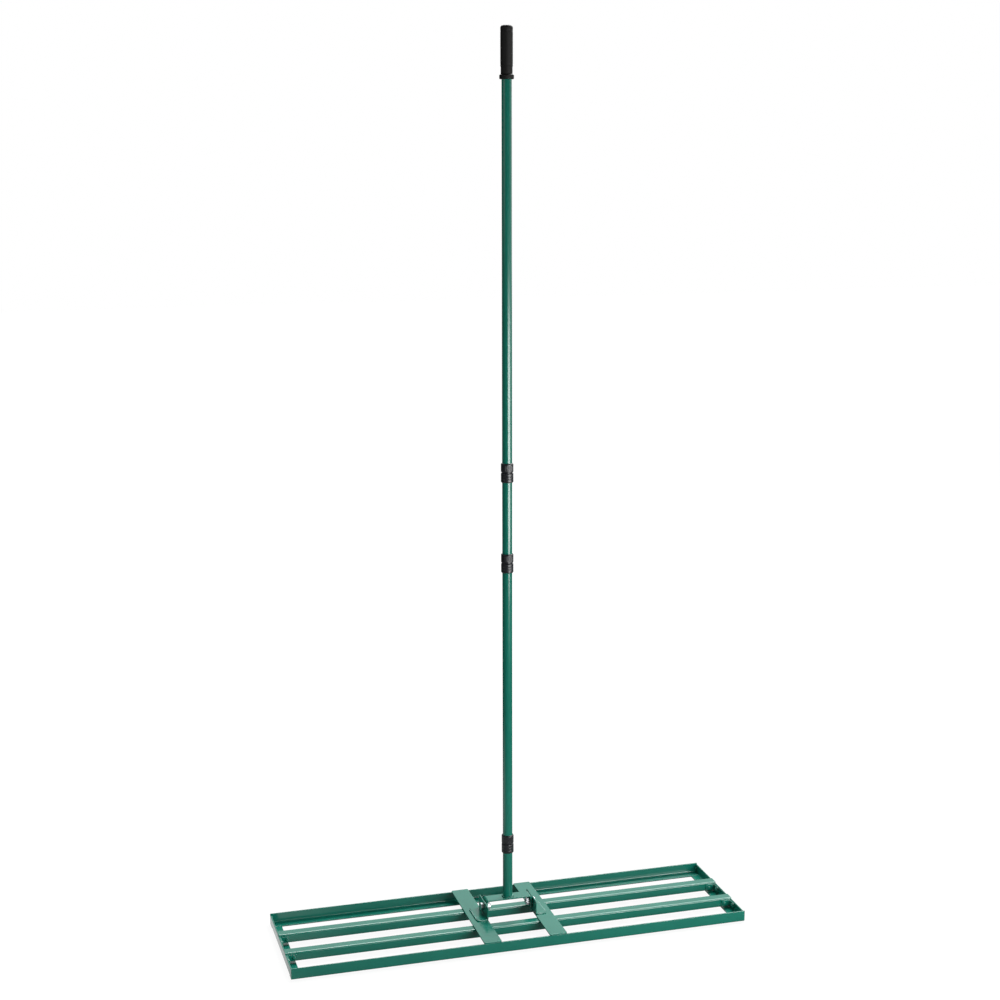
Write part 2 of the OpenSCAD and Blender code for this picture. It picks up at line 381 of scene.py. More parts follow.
@dataclass(frozen=True)
class Surface:
    """A grid of points, rings by points round each ring, in millimetres.

    The rings are closed. With loop the last ring joins the first, and otherwise both end rings are filled.
    """

    grid: np.ndarray
    loop: bool = False

    def faces(self, start: int) -> list[list[int]]:
        """Lists the faces of the grid.

        Args:
            start: Number of the grid's first point in the mesh.

        Returns:
            Corner numbers of each face.
        """
        rings, count = self.grid.shape[:2]
        index = np.arange(rings * count).reshape(rings, count) + start
        here = index if self.loop else index[:-1]
        after = np.roll(index, -1, axis=0) if self.loop else index[1:]
        quads = np.stack([here, np.roll(here, -1, axis=1), np.roll(after, -1, axis=1), after], axis=-1)
        faces = quads.reshape(-1, 4).tolist()
        if not self.loop:
            faces += [index[0, ::-1].tolist(), index[-1].tolist()]
        return faces

    def moved(self, origin: Sequence[float], axis: np.ndarray) -> "Surface":
        """Stands a surface drawn along Z on a point, along another axis.

        Args:
            origin: Where the drawing's zero goes.
            axis: Direction that the drawing's Z takes.

        Returns:
            The moved surface: origin + x*side + y*up + z*axis.
        """
        side = np.cross(axis, X_AXIS if abs(axis[0]) < 0.9 else Y_AXIS)
        side = side / np.linalg.norm(side)
        axes = np.stack([side, np.cross(axis, side), axis])
        return Surface(self.grid @ axes + np.asarray(origin, float), self.loop)


@dataclass(frozen=True)
class Weld:
    """Size of a weld bead: its mean radius and the distance between its ripples."""

    radius: float
    ripple: float


def run_along(path: np.ndarray) -> np.ndarray:
    """Distance travelled along a path at each of its points."""
    return np.concatenate([[0.0], np.cumsum(np.linalg.norm(np.diff(path, axis=0), axis=1))])


def bend_path(
    corners: Sequence[Sequence[float]], radius: float, steps: int = 6
) -> tuple[np.ndarray, np.ndarray]:
    """Flat path through corners, each inner corner rounded to a radius.

    A corner with directions d1 and d2 becomes the arc that starts radius*tan(half turn) before it.

    Args:
        corners: Points (u, v) of the sharp path.
        radius: Radius of the bends.
        steps: Points in each arc.

    Returns:
        Points and unit normals, to the left of the way of travel.
    """
    points = np.asarray(corners, float)
    ways = np.diff(points, axis=0)
    ways = ways / np.linalg.norm(ways, axis=1, keepdims=True)
    lefts = np.stack([-ways[:, 1], ways[:, 0]], axis=1)
    out, normals = [points[:1]], [lefts[:1]]
    for k in range(1, len(points) - 1):
        turn = math.atan2(np.cross(ways[k - 1], ways[k]), ways[k - 1] @ ways[k])
        side = math.copysign(1.0, turn)
        begin = points[k] - ways[k - 1] * radius * math.tan(abs(turn) / 2)
        centre = begin + lefts[k - 1] * radius * side
        angle = np.linspace(0.0, turn, steps)
        rotated = (np.cos(angle)[:, None] * lefts[k - 1]
                   + np.sin(angle)[:, None] * np.array([-lefts[k - 1][1], lefts[k - 1][0]]))
        out.append(centre - rotated * radius * side)
        normals.append(rotated)
    return np.concatenate(out + [points[-1:]]), np.concatenate(normals + [lefts[-1:]])


def refine(points: np.ndarray, normals: np.ndarray, spacing: float) -> tuple[np.ndarray, np.ndarray]:
    """Adds points to a path, so that no step is longer than a spacing.

    Args:
        points: Path points.
        normals: Their normals.
        spacing: Longest step.

    Returns:
        Points and normals on the same path at even and original places.
    """
    run = run_along(points)
    at = np.unique(np.concatenate([run, np.arange(0.0, run[-1], spacing)]).round(5))
    fine = np.stack([np.interp(at, run, points[:, k]) for k in range(2)], axis=1)
    lean = np.stack([np.interp(at, run, normals[:, k]) for k in range(2)], axis=1)
    return fine, lean / np.linalg.norm(lean, axis=1, keepdims=True)


def round_ends(run: np.ndarray, half: float, radius: float) -> np.ndarray:
    """Half width of a strap with rounded corners at both ends.

    At a distance s from an end, less than the radius, the half width is smaller by
    radius - sqrt(radius^2 - (radius - s)^2).

    Args:
        run: Distance along the strap at each point.
        half: Half width away from the ends.
        radius: Radius of the corners.

    Returns:
        Half width at each point.
    """
    short = np.clip(radius - np.minimum(run, run[-1] - run), 0.0, radius)
    return half - (radius - np.sqrt(np.maximum(radius ** 2 - short ** 2, 0.0)))


def strap(path: np.ndarray, normal: np.ndarray, across: np.ndarray, half: np.ndarray, thick: float,
          edge: float, steps: int = 3) -> Surface:
    """Bar of sheet steel with rounded edges, carried along a bent path.

    P(s, q) = path(s) + normal(s)*A(q) + across*W(s, q), with (A, W) on a rectangle of thick by 2*half(s)
    whose corners are rounded to edge. Within edge of both ends the rectangle shrinks on a quarter circle.

    Args:
        path: Middle line, one point a row.
        normal: Unit directions of the thickness along it.
        across: Unit direction of the width.
        half: Half width at each point of the path.
        thick: Thickness of the sheet.
        edge: Radius of the edges.
        steps: Steps in each rounded corner.

    Returns:
        The closed surface.
    """
    run = run_along(path)
    psi = np.linspace(0.0, QUARTER, steps + 1)
    near, shrink = edge * (1 - np.cos(psi)), edge * (1 - np.sin(psi))
    inside = run[(run > edge * 1.02) & (run < run[-1] - edge * 1.02)]
    at = np.concatenate([near, inside, run[-1] - near[::-1]])
    inset = np.concatenate([shrink, np.zeros(len(inside)), shrink[::-1]])
    middle = np.stack([np.interp(at, run, path[:, k]) for k in range(3)], axis=1)
    lean = np.stack([np.interp(at, run, normal[:, k]) for k in range(3)], axis=1)
    lean = lean / np.linalg.norm(lean, axis=1, keepdims=True)
    width = np.maximum(np.interp(at, run, half) - edge, 0.02)
    angle = (np.arange(4)[:, None] * QUARTER + psi).ravel()
    sign_a = np.repeat([1.0, -1.0, -1.0, 1.0], steps + 1)
    sign_w = np.repeat([1.0, 1.0, -1.0, -1.0], steps + 1)
    round_r = (edge - inset)[:, None]
    a = sign_a * (thick / 2 - edge) + round_r * np.cos(angle)
    w = sign_w * width[:, None] + round_r * np.sin(angle)
    return Surface(middle[:, None] + lean[:, None] * a[..., None] + across * w[..., None])


def lathe(profile: np.ndarray, sides: int = 96, loop: bool = True) -> Surface:
    """Turned piece: P(q, t) = (r(q)*cos t, r(q)*sin t, z(q)) round the Z axis.

    Args:
        profile: Rows of radius and height.
        sides: Points round the axis.
        loop: Whether the profile closes on itself, as a tube's wall does.

    Returns:
        The surface.
    """
    t = np.arange(sides) * TURN / sides
    ring = np.stack([np.cos(t), np.sin(t)], axis=1)
    flat = profile[:, 0][:, None, None] * ring
    high = np.broadcast_to(profile[:, 1][:, None, None], flat.shape[:2] + (1,))
    return Surface(np.concatenate([flat, high], axis=2), loop)


def waved(surface: Surface, change: np.ndarray) -> Surface:
    """Moves each point of a turned surface away from its Z axis: r becomes r + change.

    Args:
        surface: The turned surface.
        change: Change of radius at each point of its grid.

    Returns:
        The changed surface.
    """
    radius = np.linalg.norm(surface.grid[..., :2], axis=2, keepdims=True)
    grid = surface.grid.copy()
    grid[..., :2] *= 1.0 + change[..., None] / np.maximum(radius, 1e-6)
    return Surface(grid, surface.loop)


def rounded(corners: Sequence[Sequence[float]], radius: Sequence[float], steps: int) -> np.ndarray:
    """Closed outline with each corner rounded.

    Each corner becomes an arc between its two tangent points, worked out with bend_path over three corners.

    Args:
        corners: Points of the sharp outline.
        radius: Radius at each corner, zero for sharp.
        steps: Points in each arc.

    Returns:
        Points of the outline.
    """
    points = np.asarray(corners, float)
    pieces = []
    for k in range(len(points)):
        trio = [points[k - 1], points[k], points[(k + 1) % len(points)]]
        pieces.append(bend_path(trio, radius[k], steps)[0][1:-1] if radius[k] > 0 else points[k:k + 1])
    return np.concatenate(pieces)


def hexagon(
    across: float, low: float, high: float, cone_low: bool, cone_high: bool, sides: int = 72
) -> Surface:
    """Hexagon bar along Z whose corners are turned off by 30 degree cones at the chosen ends.

    r(t, z) = min(across/2 / cos(t within a flat), cone(z)), the cone starting at 0.94 of the flat's radius.

    Args:
        across: Width across the flats.
        low: Height of the lower face.
        high: Height of the upper face.
        cone_low: Whether the lower corners are turned off.
        cone_high: Whether the upper corners are turned off.
        sides: Points round it, a multiple of six.

    Returns:
        The surface.
    """
    t = np.arange(sides) * TURN / sides
    flat = across / 2 / np.cos((t + TURN / 12) % (TURN / 6) - TURN / 12)
    cone_start, cone_band = 0.94 * across / 2, 0.1 * across
    run = np.linspace(0.0, cone_band, 5)
    z = np.unique(np.concatenate([low + run, high - run]))
    reach = np.full(len(z), across)
    if cone_low:
        reach = np.minimum(reach, cone_start + (z - low) * math.sqrt(3))
    if cone_high:
        reach = np.minimum(reach, cone_start + (high - z) * math.sqrt(3))
    r = np.minimum(flat[None, :], reach[:, None])
    grid = np.stack([r * np.cos(t), r * np.sin(t), np.broadcast_to(z[:, None], r.shape)], axis=2)
    return Surface(grid)


def thread(radius: float, low: float, high: float, pitch: float, depth: float, sides: int = 48) -> Surface:
    """Screw thread along Z.

    r(t, z) = radius - depth*wave, the wave rising and falling once a pitch along a helix.

    Args:
        radius: Radius over the crests.
        low: Lower end.
        high: Upper end.
        pitch: Distance between crests.
        depth: Depth of the thread.
        sides: Points round it.

    Returns:
        The surface, a little tapered at its ends.
    """
    z = np.linspace(low, high, max(5, int((high - low) / pitch * 10) + 1))
    t = np.arange(sides) * TURN / sides
    wave = np.abs((z[:, None] / pitch - t[None, :] / TURN) % 1.0 * 2.0 - 1.0)
    ends = np.minimum(np.minimum(z - low, high - z) / (0.6 * pitch), 1.0)[:, None]
    r = radius - depth * (1.0 - (1.0 - wave) * ends)
    grid = np.stack([r * np.cos(t), r * np.sin(t), np.broadcast_to(z[:, None], r.shape)], axis=2)
    return Surface(grid)


def bead(path: np.ndarray, weld: Weld, loop: bool = False, sides: int = 14) -> Surface:
    """Weld bead along a path: a round rope whose radius swells and falls once a ripple, thinner at free ends.

    P(s, q) = path(s) + r(s)*(cos q * side(s) + sin q * up(s)), r = radius*(1 + 0.14*cos(2 pi s/ripple)).

    Args:
        path: Points of the middle line.
        weld: Mean radius and ripple.
        loop: Whether the path closes on itself.
        sides: Points round the bead.

    Returns:
        The surface.
    """
    swell, thin_end = 0.14, 0.25
    ahead = np.roll(path, -1, axis=0) - np.roll(path, 1, axis=0) if loop else np.gradient(path, axis=0)
    ahead = ahead / np.linalg.norm(ahead, axis=1, keepdims=True)
    guide = Z_AXIS if abs(ahead[0, 2]) < 0.9 else X_AXIS
    side = np.cross(ahead, guide)
    side = side / np.linalg.norm(side, axis=1, keepdims=True)
    up = np.cross(side, ahead)
    run = run_along(path)
    r = weld.radius * (1.0 + swell * np.cos(TURN * run / weld.ripple))
    if not loop:
        from_end = np.minimum(run, run[-1] - run) / (1.5 * weld.radius)
        r = r * np.clip(from_end + thin_end, thin_end, 1.0)
    q = np.arange(sides) * TURN / sides
    ring = side[:, None] * np.cos(q)[None, :, None] + up[:, None] * np.sin(q)[None, :, None]
    return Surface(path[:, None] + r[:, None, None] * ring, loop)


def fillet(corner: Sequence[float], first: np.ndarray, second: np.ndarray, radius: float, along: np.ndarray,
           half: float, steps: int = 8) -> Surface:
    """Rolled fillet in the inside corner of an angle: a three-sided rope with one hollow side.

    The hollow side is the quarter circle corner + radius*(1 - cos a)*first + radius*(1 - sin a)*second. The
    two flat sides lie a little inside the legs.

    Args:
        corner: A point of the inside corner, at the middle of the bar.
        first: Unit direction away from the corner in one leg.
        second: Unit direction away from the corner in the other leg.
        radius: Radius of the hollow.
        along: Unit direction of the bar.
        half: Half length of the fillet.
        steps: Points in the quarter circle.

    Returns:
        The closed surface.
    """
    sunk = 0.3
    a = np.linspace(0.0, QUARTER, steps)[:, None]
    hollow = radius * ((1 - np.cos(a)) * first + (1 - np.sin(a)) * second)
    heel = -sunk * (first + second)
    ring = np.concatenate([[heel], hollow[:1] - sunk * first, hollow, hollow[-1:] - sunk * second])
    ends = np.array([-half, half])[:, None, None] * along
    return Surface(np.asarray(corner, float) + ring[None] + ends)


def line(start: Sequence[float], end: Sequence[float], spacing: float = 0.6) -> np.ndarray:
    """Even points from one place to another."""
    a, b = np.asarray(start, float), np.asarray(end, float)
    return a + (b - a) * np.linspace(0.0, 1.0, max(2, int(np.linalg.norm(b - a) / spacing)))[:, None]


def lift_path(flat: np.ndarray, first: np.ndarray, second: np.ndarray) -> np.ndarray:
    """Puts flat (u, v) points or directions into space as u*first + v*second."""
    return flat[:, :1] * first + flat[:, 1:] * second


def make_piece(name: str, surfaces: Sequence[Surface], finishes: Finishes, slot: Slot, body: Body,
               nodes: Sequence[str]) -> None:
    """Makes one object of several surfaces and gives it its finish, body and place in the frame.

    Args:
        name: Name of the object.
        surfaces: Its surfaces, in millimetres.
        finishes: The finished materials.
        slot: The finish that it takes.
        body: The body that it moves with.
        nodes: The solids that it stands for.
    """
    points = np.concatenate([s.grid.reshape(-1, 3) for s in surfaces]) * MM
    counts = np.cumsum([0] + [s.grid.shape[0] * s.grid.shape[1] for s in surfaces])
    faces = [face for s, start in zip(surfaces, counts) for face in s.faces(int(start))]
    mesh = bpy.data.meshes.new(name)
    mesh.from_pydata(points.tolist(), [], faces)
    work = bmesh.new()
    work.from_mesh(mesh)
    bmesh.ops.recalc_face_normals(work, faces=work.faces[:])
    work.to_mesh(mesh)
    work.free()
    mesh.polygons.foreach_set("use_smooth", np.ones(len(mesh.polygons), bool))
    mesh.set_sharp_from_angle(angle=SHARP_EDGE)
    mesh.materials.append(finishes.by_slot[slot])
    piece = bpy.data.objects.new(name, mesh)
    bpy.context.scene.collection.objects.link(piece)
    level = piece.modifiers.new("flat_faces_shade_flat", "WEIGHTED_NORMAL")
    level.mode = "FACE_AREA"
    level.weight = 50
    level.keep_sharp = True
    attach(piece, body.value)
    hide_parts(*nodes)
    LOG.info("%s: %d faces", name, len(mesh.polygons))


# The head


@dataclass
class HeadFrame:
    """The open frame of steel angles and its welds.

    The heel is the bend radius of an angle, at the middle of its sheet, the root is the radius of the fillet
    inside it, and the edge is the radius of the sheet's edges. The shares place the inner bars in the frame's
    depth, and the spacing is the longest step along a bent path.
    """

    width: float = 914.0
    depth: float = 254.0
    height: float = 22.0
    steel: float = 2.5
    flange: float = 20.0
    bar_flange: float = 20.0
    bar_lift: float = 5.0
    bar_play: float = 0.05
    rear_share: float = 0.0866
    front_share: float = 0.2362
    heel: float = 1.7
    root: float = 4.0
    edge: float = 0.55
    spacing: float = 2.0
    corner_weld: Weld = Weld(1.7, 2.2)
    joint_weld: Weld = Weld(1.2, 2.0)

    @property
    def bar_ys(self) -> tuple[float, float]:
        """Front faces of the rear and the front inner bar."""
        return self.depth * self.rear_share, -self.depth * self.front_share

    def angle_along_x(
        self, corners: Sequence[Sequence[float]], half: float, leg_half: float, level: float
    ) -> Surface:
        """Angle bar along X: a strap carried along its flat path in the Y-Z plane.

        Args:
            corners: The path of the middle of the sheet, flange end first.
            half: Half length of the flange.
            leg_half: Half length of the leg.
            level: Distance along the path at which the leg starts.

        Returns:
            The surface.
        """
        flat, normal = refine(*bend_path(corners, self.heel), self.spacing)
        widths = np.where(run_along(flat) < level, half, leg_half)
        return strap(lift_path(flat, Y_AXIS, Z_AXIS), lift_path(normal, Y_AXIS, Z_AXIS), X_AXIS, widths,
                     self.steel, self.edge)

    def rail(self, side: float) -> Surface:
        """Rail: upright leg outside, flange inwards at the bottom.

        Args:
            side: FRONT or REAR.

        Returns:
            The surface.
        """
        out, mid = side * (self.depth / 2 - self.steel / 2), self.steel / 2
        corners = [(side * (self.depth / 2 - self.flange), mid), (out, mid), (out, self.height)]
        return self.angle_along_x(corners, self.width / 2, self.width / 2, 0.0)

    def rail_fillet(self, side: float) -> Surface:
        """Rolled fillet between the flange and the leg of a rail."""
        corner = (0.0, side * (self.depth / 2 - self.steel), self.steel)
        return fillet(corner, -side * Y_AXIS, Z_AXIS, self.root, X_AXIS, self.width / 2 - self.steel)

    def end_fillet(self, side: float) -> Surface:
        """Rolled fillet between the flange and the leg of an end bar."""
        corner = (side * (self.width / 2 - self.steel), 0.0, self.steel)
        return fillet(corner, -side * X_AXIS, Z_AXIS, self.root, Y_AXIS, self.depth / 2 - self.flange)

    def inner_bar(self, y: float) -> Surface:
        """Inner bar with its flange on top, reaching over the end bars, and its leg between them.

        Args:
            y: Place of its front face.

        Returns:
            The surface.
        """
        mid_y, mid_z = y + self.steel / 2, self.height - self.steel / 2
        corners = [(y + self.bar_flange, mid_z), (mid_y, mid_z), (mid_y, self.bar_lift)]
        leg_half = self.width / 2 - self.steel - self.bar_play
        leg_start = self.bar_flange - 0.4
        return self.angle_along_x(corners, self.width / 2, leg_half, leg_start)

    def end_bar(self, side: float) -> Surface:
        """End bar, a strap along Y whose leg is longer than its flange.

        Args:
            side: LEFT or RIGHT.

        Returns:
            The surface.
        """
        out, mid = side * (self.width / 2 - self.steel / 2), self.steel / 2
        top = self.height - self.steel
        corners = [(side * (self.width / 2 - self.flange), mid), (out, mid), (out, top)]
        flat, normal = refine(*bend_path(corners, self.heel), self.spacing)
        widths = np.where(flat[:, 1] > self.steel, self.depth / 2 - self.steel, self.depth / 2 - self.flange)
        return strap(lift_path(flat, X_AXIS, Z_AXIS), lift_path(normal, X_AXIS, Z_AXIS), Y_AXIS, widths,
                     self.steel, self.edge)

    def corner_welds(self, side: float) -> list[Surface]:
        """Weld beads at the two corners of one end: up the inside corner and along the flange joint.

        Args:
            side: LEFT or RIGHT.

        Returns:
            The four beads.
        """
        off, low, high = 0.6, self.steel + 1.5, self.height - self.steel - 1.0
        joint_z = self.steel - 0.5
        joint_out, joint_in = self.width / 2 - self.steel - 1.0, self.width / 2 - self.flange + 0.8
        x = side * (self.width / 2 - self.steel - off)
        beads = []
        for way in (FRONT, REAR):
            y = way * (self.depth / 2 - self.steel - off)
            beads.append(bead(line((x, y, low), (x, y, high)), self.corner_weld))
            joint_y = way * (self.depth / 2 - self.flange)
            joint = line((side * joint_out, joint_y, joint_z), (side * joint_in, joint_y, joint_z))
            beads.append(bead(joint, self.joint_weld))
        return beads

    def build(self, finishes: Finishes) -> None:
        """Makes the rails, end bars and inner bars.

        Args:
            finishes: The finished materials.
        """
        rear, front = self.bar_ys
        bars = {
            "front_rail": [self.rail(FRONT), self.rail_fillet(FRONT)],
            "rear_rail": [self.rail(REAR), self.rail_fillet(REAR)],
            "left_end_bar": [self.end_bar(LEFT), self.end_fillet(LEFT)] + self.corner_welds(LEFT),
            "right_end_bar": [self.end_bar(RIGHT), self.end_fillet(RIGHT)] + self.corner_welds(RIGHT),
            "rear_inner_bar": [self.inner_bar(rear)],
            "front_inner_bar": [self.inner_bar(front)],
        }
        for name, surfaces in bars.items():
            make_piece(f"{name}_steel", surfaces, finishes, Slot.PAINT, Body.HEAD, [name])


@dataclass
class EndClips:
    """The small angles at the ends of the inner bars and the painted rivets that hold them."""

    head: HeadFrame
    leg: float = 20.0
    high: float = 12.0
    corner: float = 2.5
    spacing: float = 1.0
    rivet_out: float = 14.0
    rivet_r: float = 2.25
    rivet_head_r: float = 3.75
    rivet_head_h: float = 2.2

    @property
    def level(self) -> float:
        """Height of the middle of the clips."""
        return (self.head.bar_lift + self.head.height - self.head.steel) / 2

    def clip(self, side: float, y: float) -> Surface:
        """One clip: a short strap bent round the corner between the inner bar's leg and the end bar.

        Args:
            side: LEFT or RIGHT.
            y: Front face of the inner bar.

        Returns:
            The surface.
        """
        steel, x = self.head.steel, self.head.width / 2 - self.head.steel
        mid_x, mid_y = side * (x - steel / 2), y - steel / 2
        corners = [(side * (x - self.leg), mid_y), (mid_x, mid_y), (mid_x, y - self.leg)]
        flat, normal = refine(*bend_path(corners, self.head.heel), self.spacing)
        half = round_ends(run_along(flat), self.high / 2, self.corner)
        middle = lift_path(flat, X_AXIS, Y_AXIS) + Z_AXIS * self.level
        return strap(middle, lift_path(normal, X_AXIS, Y_AXIS), Z_AXIS, half, steel, self.head.edge)

    def places(self) -> list[tuple[tuple[float, float, float], np.ndarray]]:
        """Finds the rivets.

        Returns:
            Where the foot of each rivet lies and which way it points.
        """
        found = []
        for side in (LEFT, RIGHT):
            x = side * (self.head.width / 2 - self.head.steel - self.rivet_out)
            for y in self.head.bar_ys:
                found.append(((x, y + self.head.steel, self.level), -Y_AXIS))
                found.append(((side * self.head.width / 2, y - self.rivet_out, self.level), -side * X_AXIS))
        return found

    def rivet(self) -> Surface:
        """Domed head, r = R*cos(a)^0.7 and z = h*sin(a), on a shank whose foot is a shallow set dimple.

        Returns:
            The surface, drawn along Z.
        """
        a = np.linspace(0.0, 1.5, 12)
        base = 2 * self.head.steel
        dome = np.stack([self.rivet_head_r * np.cos(a) ** 0.7, base + self.rivet_head_h * np.sin(a)], axis=1)
        dimple = [(0.6, 0.3), (1.5, 0.05), (self.rivet_r - 0.3, 0.0), (self.rivet_r, 0.25)]
        shank_end, head_edge = (self.rivet_r, base), (self.rivet_head_r, base - 0.01)
        return lathe(np.concatenate([dimple, [shank_end, head_edge], dome]), 40, loop=False)

    def build(self, finishes: Finishes) -> None:
        """Makes the four clips and the group of rivets.

        Args:
            finishes: The finished materials.
        """
        rear, front = self.head.bar_ys
        for name, side, y in (("rear_left_clip", LEFT, rear), ("rear_right_clip", RIGHT, rear),
                              ("front_left_clip", LEFT, front), ("front_right_clip", RIGHT, front)):
            make_piece(f"{name}_steel", [self.clip(side, y)], finishes, Slot.PAINT, Body.HEAD, [name])
        rivets = [self.rivet().moved(at, way) for at, way in self.places()]
        make_piece("clip_rivets_painted", rivets, finishes, Slot.PAINT, Body.HEAD, ["clip_rivets"])


@dataclass
class CentrePlates:
    """The two cross plates and the short angles welded on them as ears for the pivot."""

    head: HeadFrame
    plate_w: float = 35.0
    plate_round: float = 3.0
    gap: float = 97.0
    foot: float = 22.5
    ear_len: float = 64.0
    ear_rise: float = 12.0
    ear_round: float = 3.0
    ear_bend: float = 2.2
    pivot_lift: float = 16.5
    spacing: float = 0.5
    plate_weld: Weld = Weld(1.5, 2.2)
    foot_weld: Weld = Weld(1.5, 2.4)
    foot_end_weld: Weld = Weld(1.4, 2.4)

    @property
    def plate_top(self) -> float:
        """Height of the plates' upper faces."""
        return self.head.height + self.head.steel

    @property
    def pivot_z(self) -> float:
        """Height of the pivot."""
        return self.plate_top + self.pivot_lift

    def plate(self, side: float) -> Surface:
        """Flat strip front to back, with its corners rounded in plan.

        Args:
            side: LEFT or RIGHT.

        Returns:
            The surface.
        """
        x, z = side * (self.gap + self.plate_w) / 2, self.plate_top - self.head.steel / 2
        path = line((x, -self.head.depth / 2, z), (x, self.head.depth / 2, z), self.spacing)
        half = round_ends(run_along(path), self.plate_w / 2, self.plate_round)
        return strap(path, np.broadcast_to(Z_AXIS, path.shape), X_AXIS, half, self.head.steel, self.head.edge)

    def plate_welds(self, side: float) -> list[Surface]:
        """Weld beads where a plate lies on the two rails, on the inner side of each leg.

        Args:
            side: LEFT or RIGHT.

        Returns:
            The two beads.
        """
        inset, off, z = 5.0, 0.4, self.head.height - 0.6
        inner, outer = side * (self.gap / 2 + inset), side * (self.gap / 2 + self.plate_w - inset)
        beads = []
        for way in (FRONT, REAR):
            y = way * (self.head.depth / 2 - self.head.steel - off)
            beads.append(bead(line((inner, y, z), (outer, y, z)), self.plate_weld))
        return beads

    def ear(self, side: float) -> Surface:
        """Ear: foot and upright side in one bent strap, with rounded corners at both ends.

        Args:
            side: LEFT or RIGHT.

        Returns:
            The surface.
        """
        steel, top = self.head.steel, self.pivot_z + self.ear_rise
        mid_x, mid_z = self.gap / 2 + steel / 2, self.plate_top + steel / 2
        corners = [(side * (self.gap / 2 + self.foot), mid_z), (side * mid_x, mid_z), (side * mid_x, top)]
        flat, normal = refine(*bend_path(corners, self.ear_bend), self.spacing)
        half = round_ends(run_along(flat), self.ear_len / 2, self.ear_round)
        return strap(lift_path(flat, X_AXIS, Z_AXIS), lift_path(normal, X_AXIS, Z_AXIS), Y_AXIS, half, steel,
                     self.head.edge)

    def ear_welds(self, side: float) -> list[Surface]:
        """Weld beads along the outer edge of an ear's foot and across its two ends.

        Args:
            side: LEFT or RIGHT.

        Returns:
            The three beads.
        """
        inset, off, z = 4.0, 0.4, self.plate_top + 0.5
        inner, outer, half = self.gap / 2 + inset, self.gap / 2 + self.foot, self.ear_len / 2
        edge_x, edge_half = side * (outer + off), half * 0.82
        beads = [bead(line((edge_x, -edge_half, z), (edge_x, edge_half, z)), self.foot_weld)]
        for way in (FRONT, REAR):
            y = way * (half + off)
            beads.append(bead(line((side * inner, y, z), (side * (outer - inset), y, z)), self.foot_end_weld))
        return beads

    def build(self, finishes: Finishes) -> None:
        """Makes the plates and ears.

        Args:
            finishes: The finished materials.
        """
        for word, side in (("left", LEFT), ("right", RIGHT)):
            steelwork = {
                f"{word}_cross_plate": [self.plate(side)] + self.plate_welds(side),
                f"{word}_pivot_ear": [self.ear(side)] + self.ear_welds(side),
            }
            for name, surfaces in steelwork.items():
                make_piece(f"{name}_steel", surfaces, finishes, Slot.PAINT, Body.HEAD, [name])


# The pivot and the handle


